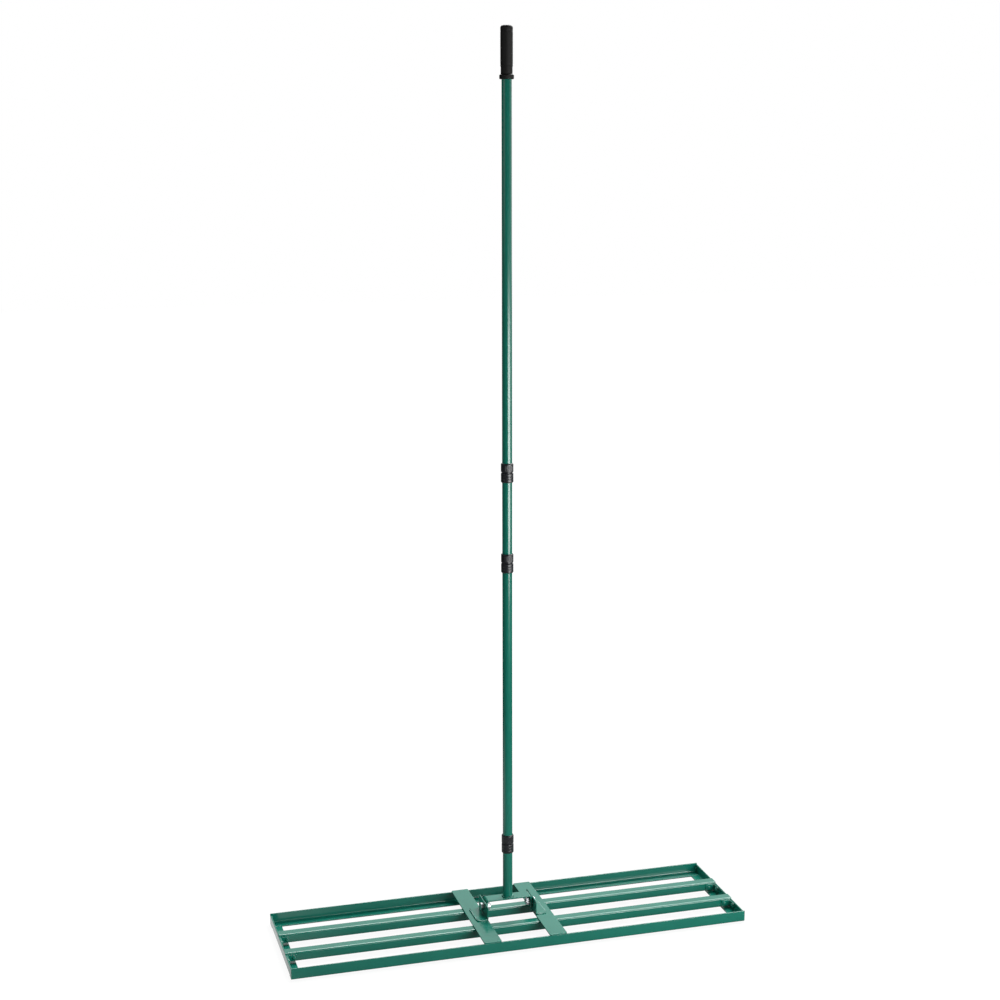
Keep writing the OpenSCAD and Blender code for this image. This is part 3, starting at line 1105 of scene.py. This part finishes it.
@dataclass
class PivotYoke:
    """The bent yoke under the handle and the two bolts that it turns on."""

    plates: CentrePlates
    bolt_r: float = 4.0
    across_flats: float = 13.0
    head_h: float = 5.3
    nut_h: float = 6.5
    washer_r: float = 8.0
    washer_t: float = 1.2
    washer_edge: float = 0.25
    play: float = 0.3
    strap_w: float = 25.0
    strap_t: float = 3.0
    rise: float = 16.0
    bend: float = 5.0
    edge: float = 0.6
    spacing: float = 0.4
    tail: float = 1.5
    pitch: float = 1.25
    thread_depth: float = 0.65

    @property
    def half(self) -> float:
        """Half of the yoke's outside width."""
        return self.plates.gap / 2 - self.washer_t - self.play

    @property
    def top(self) -> float:
        """Height of the yoke's flat top."""
        return self.plates.pivot_z + self.rise

    @property
    def nut_face(self) -> float:
        """Distance from the middle to the face of a nut that is towards the yoke."""
        return self.half - self.strap_t - self.play

    def yoke(self) -> Surface:
        """Upside-down U of flat strap whose lower ends are half circles.

        Returns:
            The surface.
        """
        x, low = self.half - self.strap_t / 2, self.plates.pivot_z - self.strap_w / 2
        high = self.top - self.strap_t / 2
        corners = [(-x, low), (-x, high), (x, high), (x, low)]
        flat, normal = refine(*bend_path(corners, self.bend - self.strap_t / 2), self.spacing)
        half = round_ends(run_along(flat), self.strap_w / 2, self.strap_w / 2)
        return strap(lift_path(flat, X_AXIS, Z_AXIS), lift_path(normal, X_AXIS, Z_AXIS), Y_AXIS, half,
                     self.strap_t, self.edge)

    def bolt(self) -> list[Surface]:
        """Bolt: hexagon head outside the ear, plain shank, and a thread that ends just past the nut.

        Returns:
            The surfaces, drawn along Z from the middle of the yoke.
        """
        head_face = self.plates.gap / 2 + self.plates.head.steel
        shank_r = self.bolt_r - 0.02
        shank = np.array([[shank_r, self.nut_face - 1.0], [shank_r, head_face + 1.0]])
        tip = self.nut_face - self.nut_h - self.tail
        return [hexagon(self.across_flats, head_face, head_face + self.head_h, False, True),
                lathe(shank, 48, loop=False),
                thread(self.bolt_r, tip, self.nut_face - 0.5, self.pitch, self.thread_depth)]

    def nut(self) -> list[Surface]:
        """Hexagon nut with both ends turned off, drawn along Z from the middle of the yoke."""
        return [hexagon(self.across_flats, self.nut_face - self.nut_h, self.nut_face, True, True)]

    def washer(self) -> list[Surface]:
        """Washer between yoke and ear: a flat ring with soft outer edges, turned round Z.

        Returns:
            The surface, drawn along Z from the middle of the yoke.
        """
        high = self.plates.gap / 2
        low = high - self.washer_t
        corners = [(self.bolt_r, low), (self.washer_r, low), (self.washer_r, high), (self.bolt_r, high)]
        return [lathe(rounded(corners, [0.0, self.washer_edge, self.washer_edge, 0.0], 3), 64)]

    def build(self, finishes: Finishes) -> None:
        """Makes the yoke, the pivot bolts, the nuts and the washers.

        Args:
            finishes: The finished materials.
        """
        make_piece("yoke_strap", [self.yoke()], finishes, Slot.PAINT, Body.STUB, ["yoke"])
        pivot = (0.0, 0.0, self.plates.pivot_z)
        fasteners = {"pivot_bolts": self.bolt(), "pivot_nuts": self.nut(), "pivot_washers": self.washer()}
        for name, drawn in fasteners.items():
            pair = [s.moved(pivot, side * X_AXIS) for side in (LEFT, RIGHT) for s in drawn]
            make_piece(f"{name}_zinc", pair, finishes, Slot.ZINC, Body.HEAD, [name])


@dataclass
class Handle:
    """The four tube sections, their collars and turning nuts, and the grip.

    The base is the height at which the stub stands on the yoke.
    """

    base: float
    tube_r: float = 9.5
    wall: float = 1.2
    tube_edge: float = 0.3
    stub_edge: float = 0.2
    stub: float = 93.0
    lower: float = 570.0
    middle: float = 176.0
    upper: float = 746.0
    stub_weld: Weld = Weld(1.9, 2.7)
    collar_wall: float = 2.4
    collar_h: float = 19.0
    seat: float = 14.0
    spigot_h: float = 13.0
    spigot_wall: float = 0.8
    rim_h: float = 2.0
    lip_h: float = 3.0
    lip_edge: float = 0.4
    groove: float = 1.3
    play: float = 0.3
    soft_edge: float = 2.2
    foot_edge_share: float = 0.55
    arc: int = 7
    thread_pitch: float = 6.0
    thread_depth: float = 0.5
    ring_cut: float = 0.28
    ring_width: float = 0.45
    ring_shares: tuple[float, float] = (0.36, 0.64)
    flutes: int = 28
    flute_points: int = 12
    flute_cut: float = 0.3
    flute_foot: float = 2.0
    flute_head: float = 3.2
    flute_fade: float = 1.2
    grip_len: float = 95.5
    grip_r: float = 11.5
    grip_flange_r: float = 13.5
    grip_flange_h: float = 10.0
    grip_rim_h: float = 8.2
    grip_rim_rounds: tuple[float, float] = (2.0, 1.3)
    grip_throat_in: float = 1.2
    grip_band_h: float = 13.0
    grip_band_cut: float = 0.6
    grip_round: float = 5.0
    grip_cap: float = 6.0
    grip_top_marks: tuple[float, float] = (9.0, 11.5)
    grip_foot_mark: float = 3.0
    grip_mark_cut: float = 0.35
    grip_mark_width: float = 0.5
    grip_dish: float = 0.35

    @property
    def joints(self) -> tuple[float, float, float]:
        """Heights of the bottom, middle and top collars."""
        first = self.base + self.stub
        return first, first + self.lower, first + self.lower + self.middle

    @property
    def collar_r(self) -> float:
        """Outer radius of the collars and their nuts."""
        return self.tube_r + self.collar_wall

    @property
    def spigot_r(self) -> float:
        """Outer radius of the spigots and of the tubes' rims."""
        return self.tube_r + self.spigot_wall

    def tube(self, low: float, high: float, rim: bool) -> Surface:
        """Tube wall turned round the axis, with a flared rim at its foot where a nut holds it.

        Args:
            low: Height of its foot.
            high: Height of its top.
            rim: Whether it has the rim.

        Returns:
            The surface.
        """
        bore, out, edge = self.tube_r - self.wall, self.tube_r, self.tube_edge
        foot, foot_edges = [(out, low)], [self.stub_edge]
        if rim:
            foot = [(self.spigot_r, low), (self.spigot_r, low + self.rim_h), (out, low + self.rim_h)]
            foot_edges = [edge, edge, 0.0]
        corners = [(bore, low)] + foot + [(out, high), (bore, high)]
        return lathe(rounded(corners, [0.0] + foot_edges + [edge, edge], 3))

    def collar(self, z: float) -> list[Surface]:
        """Fixed collar: a soft-edged ring with two fine grooves, and its threaded spigot.

        Each groove lowers the ring's radius by cut*exp(-((z - place)/width)^2).

        Args:
            z: Height of its foot.

        Returns:
            The ring, the spigot and the seat inside.
        """
        out, hole, bore, high = self.collar_r, self.tube_r + 0.02, self.tube_r - self.wall, self.collar_h
        outline = rounded([(hole, 0.0), (out, 0.0), (out, high), (hole, high)],
                          [0.0, self.soft_edge, self.soft_edge, 0.0], self.arc)
        height = np.linspace(self.soft_edge, high - self.soft_edge, 41)
        cuts = sum(np.exp(-((height - high * share) / self.ring_width) ** 2) for share in self.ring_shares)
        side = np.stack([out - self.ring_cut * cuts, height], axis=1)
        ring = lathe(np.concatenate([outline[:1 + self.arc], side[1:-1], outline[1 + self.arc:]]))
        spigot = thread(self.spigot_r, high - 1.0, high + self.spigot_h, self.thread_pitch,
                        self.thread_depth, 96)
        roof = high - 0.5
        seat = lathe(np.array([[bore, self.seat], [self.tube_r, self.seat],
                               [self.tube_r, roof], [bore, roof]]))
        return [s.moved((0.0, 0.0, z), Z_AXIS) for s in (ring, spigot, seat)]

    def collar_nut(self, z: float) -> Surface:
        """Turning nut: a soft-edged ring whose side carries shallow flutes that fade out at both ends.

        r(t) = out - cut*cos(flutes*t/2)^8 on the side.

        Args:
            z: Height of its collar's foot.

        Returns:
            The surface.
        """
        out, bore, lip = self.collar_r, self.spigot_r + self.play, self.tube_r + self.play
        low, roof = self.collar_h + self.groove, self.collar_h + self.spigot_h + self.rim_h + self.play
        high = roof + self.lip_h
        corners = [(bore, low), (out, low), (out, high), (lip, high), (lip, roof), (bore, roof)]
        edges = [0.0, self.soft_edge * self.foot_edge_share, self.soft_edge, self.lip_edge, 0.0, 0.0]
        outline = rounded(corners, edges, self.arc)
        side_z = np.linspace(low + 1.3, high - self.soft_edge, 31)
        side = np.stack([np.full(31, out), side_z], axis=1)
        sides = self.flutes * self.flute_points
        ring = lathe(np.concatenate([outline[:1 + self.arc], side[1:-1], outline[1 + self.arc:]]), sides)
        height = ring.grid[..., 2]
        above_foot = np.clip((height - low - self.flute_foot) / self.flute_fade, 0, 1)
        below_head = np.clip((high - self.flute_head - height) / self.flute_fade, 0, 1)
        outside = np.linalg.norm(ring.grid[..., :2], axis=2) > out - 0.05
        flute = self.flute_cut * np.cos(self.flutes * np.arange(sides) * TURN / sides / 2) ** 8
        return waved(ring, -above_foot * below_head * outside * flute).moved((0.0, 0.0, z), Z_AXIS)

    def grip(self, z: float) -> Surface:
        """Grip sleeve, a profile turned round the axis from its foot to its closed top.

        The profile follows a rounded rim, a hollow throat that is a quarter of an ellipse, a recessed band,
        the hold with fine rings cut near its ends as bell curves, a quarter circle and a shallow dish.

        Args:
            z: Height of its foot.

        Returns:
            The surface.
        """
        r, band, top = self.grip_r, self.grip_r - self.grip_band_cut, self.grip_len
        rim, rim_r = self.grip_rim_h, self.grip_flange_r
        a = np.linspace(0.0, QUARTER, 9)
        lip = rounded([(self.tube_r, 0.0), (rim_r, 0.0), (rim_r, rim), (band, rim)],
                      [0.0, *self.grip_rim_rounds, 0.0], 6)[:-1]
        reach, hollow = rim_r - self.grip_throat_in - band, self.grip_flange_h - rim
        throat = np.stack([band + reach * (1 - np.sin(a)), rim + hollow * (1 - np.cos(a))], axis=1)
        start = self.grip_flange_h + self.grip_band_h
        rise = np.array([[band, start - 0.5], [r, start]])
        shoulder_r, shoulder_z = r - self.grip_round, top - self.grip_round
        height = np.linspace(start + 0.6, shoulder_z, 150)
        hold = np.stack([np.full(150, r), height], axis=1)
        for mark in (top - self.grip_top_marks[0], top - self.grip_top_marks[1], start + self.grip_foot_mark):
            hold[:, 0] -= self.grip_mark_cut * np.exp(-((height - mark) / self.grip_mark_width) ** 2)
        cap = np.stack([shoulder_r + self.grip_round * np.cos(a),
                        shoulder_z + self.grip_round * np.sin(a)], axis=1)
        dish_z = top - self.grip_dish
        dish = np.array([[shoulder_r - 1.0, top], [shoulder_r - 1.4, dish_z], [2.0, dish_z]])
        profile = np.concatenate([lip, throat[1:], rise, hold, cap, dish])
        return lathe(profile, 96, loop=False).moved((0.0, 0.0, z), Z_AXIS)

    def foot_bead(self) -> Surface:
        """Weld bead round the foot of the stub on the yoke, along a circle.

        Returns:
            The surface.
        """
        t = np.linspace(0.0, TURN, 180, endpoint=False)
        r = self.tube_r + 0.5
        circle = np.stack([r * np.cos(t), r * np.sin(t), np.full(180, self.base + 0.6)], axis=1)
        return bead(circle, self.stub_weld, loop=True)

    def build(self, finishes: Finishes) -> None:
        """Makes the tubes, collars, nuts and grip, and finishes the hidden connectors.

        Args:
            finishes: The finished materials.
        """
        rise = self.collar_h + self.spigot_h
        first, second, third = self.joints
        grip_z = third + self.upper
        tube_end = grip_z + self.grip_len - self.grip_cap
        stub = [self.tube(self.base, first + self.seat, False), self.foot_bead()]
        make_piece("handle_stub_tube", stub, finishes, Slot.PAINT, Body.STUB, ["handle_stub"])
        for name, low, high, body in (("lower_tube", first + rise, second + self.seat, Body.LOWER),
                                      ("middle_tube", second + rise, third + self.seat, Body.MIDDLE),
                                      ("upper_tube", third + rise, tube_end, Body.UPPER)):
            make_piece(f"{name}_steel", [self.tube(low, high, True)], finishes, Slot.PAINT, body, [name])
        for word, z, body, nut_body in (("bottom", first, Body.STUB, Body.BOTTOM_NUT),
                                        ("middle", second, Body.LOWER, Body.MIDDLE_NUT),
                                        ("top", third, Body.MIDDLE, Body.TOP_NUT)):
            collar, nut = f"{word}_collar", f"{word}_collar_nut"
            make_piece(f"{collar}_moulding", self.collar(z), finishes, Slot.PLASTIC, body, [collar])
            make_piece(f"{nut}_moulding", [self.collar_nut(z)], finishes, Slot.PLASTIC, nut_body, [nut])
            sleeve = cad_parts[f"{word}_connector"]
            sleeve.data.materials.clear()
            sleeve.data.materials.append(finishes.by_slot[Slot.STEEL])
        make_piece("grip_sleeve", [self.grip(grip_z)], finishes, Slot.RUBBER, Body.UPPER, ["grip"])


# The studio


@dataclass
class Studio:
    """White floor and room, soft lamps and the camera at the photograph's viewing angle, placed in metres.

    A reach or a turn is the range over which a light changes, and the light gives its values at both ends.
    """

    focal_px: float = 1774.9
    image_px: float = 1000.0
    sensor_mm: float = 36.0
    view_far: float = 60.0
    eye: tuple[float, float, float] = (-0.9276, -3.1818, 1.5264)
    yaw: float = -0.27955
    pitch: float = -0.1979
    roll: float = -0.0021
    room_light: float = 0.15
    sweep_way: tuple[float, float, float] = (0.875, 0.485, 0.0)
    sweep_turn: tuple[float, float] = (0.15, 0.6)
    sweep_light: tuple[float, float] = (0.06, 1.0)
    floor_half: float = 14.0
    floor_z: float = -0.0004
    floor_tone: str = "#b0b0b0"
    floor_seen_tone: str = "#505050"
    floor_seen_light: tuple[float, float] = (0.92, 1.0)
    floor_seen_reach: tuple[float, float] = (0.4, 1.0)
    # Painted light on the floor, seen only in reflections: a white pool at the left rear and a painted
    # reflection near the rake that fades further off
    painted_light_pool: tuple[float, float, float] = (-0.75, 0.2, 0.0)
    pool_reach: tuple[float, float] = (0.3, 0.6)
    pool_painted_light: tuple[float, float] = (1.0, 0.0)
    near_reach: tuple[float, float] = (0.45, 1.05)
    near_painted_reflection: tuple[float, float] = (0.3, 0.05)
    white: str = "#ffffff"

    def camera(self) -> None:
        """Makes the camera: right, up and backwards directions from the yaw and pitch, then a slight roll."""
        data = bpy.data.cameras.new("camera")
        data.sensor_width = self.sensor_mm
        data.lens = self.focal_px / self.image_px * self.sensor_mm
        data.clip_end = self.view_far
        camera = bpy.data.objects.new("camera", data)
        bpy.context.scene.collection.objects.link(camera)
        level = math.cos(self.pitch)
        ahead = Vector((-math.sin(self.yaw) * level, math.cos(self.yaw) * level, math.sin(self.pitch)))
        right = Vector((math.cos(self.yaw), math.sin(self.yaw), 0.0))
        turn = Matrix((right, right.cross(ahead), -ahead)).transposed().to_4x4()
        roll = Matrix.Rotation(self.roll, 4, "Z")
        camera.matrix_world = Matrix.Translation(self.eye) @ turn @ roll
        bpy.context.scene.camera = camera

    def world(self) -> None:
        """White to the eye, a dim room to plain light, and in reflections a white sweep at the right rear."""
        world = bpy.data.worlds.new("studio")
        bpy.context.scene.world = world
        world.use_nodes = True
        tree = world.node_tree
        tree.nodes.clear()
        white = linear(self.white)
        way = add_node(tree, "ShaderNodeTexCoord").outputs["Generated"]
        toward = add_node(tree, "ShaderNodeVectorMath", {"operation": "DOT_PRODUCT"}, {1: self.sweep_way},
                          {0: way})
        sweep = add_node(tree, "ShaderNodeMapRange", {"interpolation_type": "SMOOTHSTEP"},
                         span(self.sweep_turn, self.sweep_light), {"Value": toward.outputs["Value"]})
        room = add_node(tree, "ShaderNodeBackground", values={"Color": white, "Strength": self.room_light})
        mirror = add_node(tree, "ShaderNodeBackground", values={"Color": white},
                          links={"Strength": sweep.outputs["Result"]})
        seen = add_node(tree, "ShaderNodeBackground", values={"Color": white, "Strength": 1.0})
        path = add_node(tree, "ShaderNodeLightPath")
        unseen = add_node(tree, "ShaderNodeMixShader",
                          links={0: path.outputs["Is Glossy Ray"], 1: room.outputs[0], 2: mirror.outputs[0]})
        both = add_node(tree, "ShaderNodeMixShader",
                        links={0: path.outputs["Is Camera Ray"], 1: unseen.outputs[0], 2: seen.outputs[0]})
        add_node(tree, "ShaderNodeOutputWorld", links={"Surface": both.outputs[0]})

    def floor_finish(self) -> bpy.types.Material:
        """Makes the floor's finish, which looks different to the eye and in reflections.

        To the eye it is white with a faint shadow under the rake. In reflections it glows with painted light:
        a painted reflection, pale near the rake and dark further off, and white in a pool at the left rear.

        Returns:
            The material.
        """
        material = bpy.data.materials.new("white_floor")
        material.use_nodes = True
        tree = material.node_tree
        tree.nodes.clear()
        white = linear(self.white)
        path = add_node(tree, "ShaderNodeLightPath")
        tone = add_node(tree, "ShaderNodeMix", {"data_type": "RGBA"},
                        {MIX_FIRST: linear(self.floor_tone), MIX_SECOND: linear(self.floor_seen_tone)},
                        {MIX_SHARE: path.outputs["Is Camera Ray"]})
        plain = add_node(tree, "ShaderNodeBsdfDiffuse", links={"Color": tone.outputs[MIX_RESULT]})
        place = add_node(tree, "ShaderNodeTexCoord").outputs["Object"]
        # Painted reflection: glossy rays see the floor glow, white in a pool at the left rear and pale near
        # the rake
        from_pool = add_node(tree, "ShaderNodeVectorMath", {"operation": "DISTANCE"}, {1: self.painted_light_pool},
                             {0: place})
        painted_light_pool = add_node(tree, "ShaderNodeMapRange", {"interpolation_type": "SMOOTHSTEP"},
                        span(self.pool_reach, self.pool_painted_light), {"Value": from_pool.outputs["Value"]})
        from_rake = add_node(tree, "ShaderNodeVectorMath", {"operation": "LENGTH"}, links={0: place})
        near = add_node(tree, "ShaderNodeMapRange", {"interpolation_type": "SMOOTHSTEP"},
                        span(self.near_reach, self.near_painted_reflection), {"Value": from_rake.outputs["Value"]})
        painted_reflection_light = add_node(tree, "ShaderNodeMath", {"operation": "MAXIMUM"},
                            links={0: painted_light_pool.outputs["Result"], 1: near.outputs["Result"]})
        mirror = add_node(tree, "ShaderNodeEmission", values={"Color": white},
                          links={"Strength": painted_reflection_light.outputs[0]})
        fade = add_node(tree, "ShaderNodeMapRange", values=span(self.floor_seen_reach, self.floor_seen_light),
                        links={"Value": from_rake.outputs["Value"]})
        seen = add_node(tree, "ShaderNodeMath", {"operation": "MULTIPLY"},
                        links={0: path.outputs["Is Camera Ray"], 1: fade.outputs["Result"]})
        glow = add_node(tree, "ShaderNodeEmission", values={"Color": white},
                        links={"Strength": seen.outputs[0]})
        lit = add_node(tree, "ShaderNodeAddShader", links={0: plain.outputs[0], 1: glow.outputs[0]})
        both = add_node(tree, "ShaderNodeMixShader",
                        links={0: path.outputs["Is Glossy Ray"], 1: lit.outputs[0], 2: mirror.outputs[0]})
        add_node(tree, "ShaderNodeOutputMaterial", links={"Surface": both.outputs[0]})
        return material

    def floor(self) -> None:
        """Lays the floor, one square just under the rake."""
        far, z = self.floor_half, self.floor_z
        mesh = bpy.data.meshes.new("floor")
        mesh.from_pydata([(-far, -far, z), (far, -far, z), (far, far, z), (-far, far, z)], [], [(0, 1, 2, 3)])
        mesh.materials.append(self.floor_finish())
        floor = bpy.data.objects.new("floor", mesh)
        bpy.context.scene.collection.objects.link(floor)

    def lamp(self, name: str, place: Sequence[float], aim: Sequence[float], size: tuple[float, float],
             watts: float, sheen_only: bool = False) -> None:
        """Adds one soft rectangular lamp.

        Args:
            name: Name of the lamp.
            place: Where it hangs.
            aim: The point that it faces.
            size: Width and height.
            watts: Power.
            sheen_only: Whether it shows in reflections alone and leaves the plain light as it is.
        """
        data = bpy.data.lights.new(name, "AREA")
        data.shape = "RECTANGLE"
        data.size, data.size_y = size
        data.energy = watts
        lamp = bpy.data.objects.new(name, data)
        bpy.context.scene.collection.objects.link(lamp)
        lamp.location = place
        lamp.visible_diffuse = not sheen_only
        lamp.rotation_euler = (Vector(aim) - Vector(place)).to_track_quat("-Z", "Y").to_euler()

    def build(self) -> None:
        """Sets up view, camera, world, floor and lamps."""
        bpy.context.scene.view_settings.view_transform = "Standard"
        self.camera()
        self.world()
        self.floor()
        # Main light from above and behind, on the upper faces of plates and bars
        self.lamp("overhead_softbox", place=(1.1, 1.9, 3.3), aim=(0.0, 0.0, 0.0), size=(2.8, 2.4),
                  watts=235.0)
        # Low light on the faces to the front and right
        self.lamp("front_right_softbox", place=(0.98, -1.75, 0.60), aim=(0.0, 0.0, 0.60), size=(1.3, 0.78),
                  watts=35.0)
        # Broad highlight on the tubes
        self.lamp("wide_reflector", place=(1.25, -1.75, 0.66), aim=(0.0, 0.0, 0.66), size=(3.2, 0.8),
                  watts=32.0, sheen_only=True)
        # Weak light on the handle's left side
        self.lamp("left_card", place=(-1.9, -0.5, 2.0), aim=(0.0, 0.0, 1.5), size=(1.6, 1.6), watts=6.0)


def main() -> None:
    """Builds the sub-assemblies in order."""
    logging.basicConfig(level=logging.INFO, format="%(name)s %(message)s")
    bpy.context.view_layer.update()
    finishes = Finishes.make()
    head = HeadFrame()
    plates = CentrePlates(head)
    pivot = PivotYoke(plates)
    head.build(finishes)
    EndClips(head).build(finishes)
    plates.build(finishes)
    pivot.build(finishes)
    Handle(pivot.top).build(finishes)
    Studio().build()


if __name__ == "__main__":
    main()
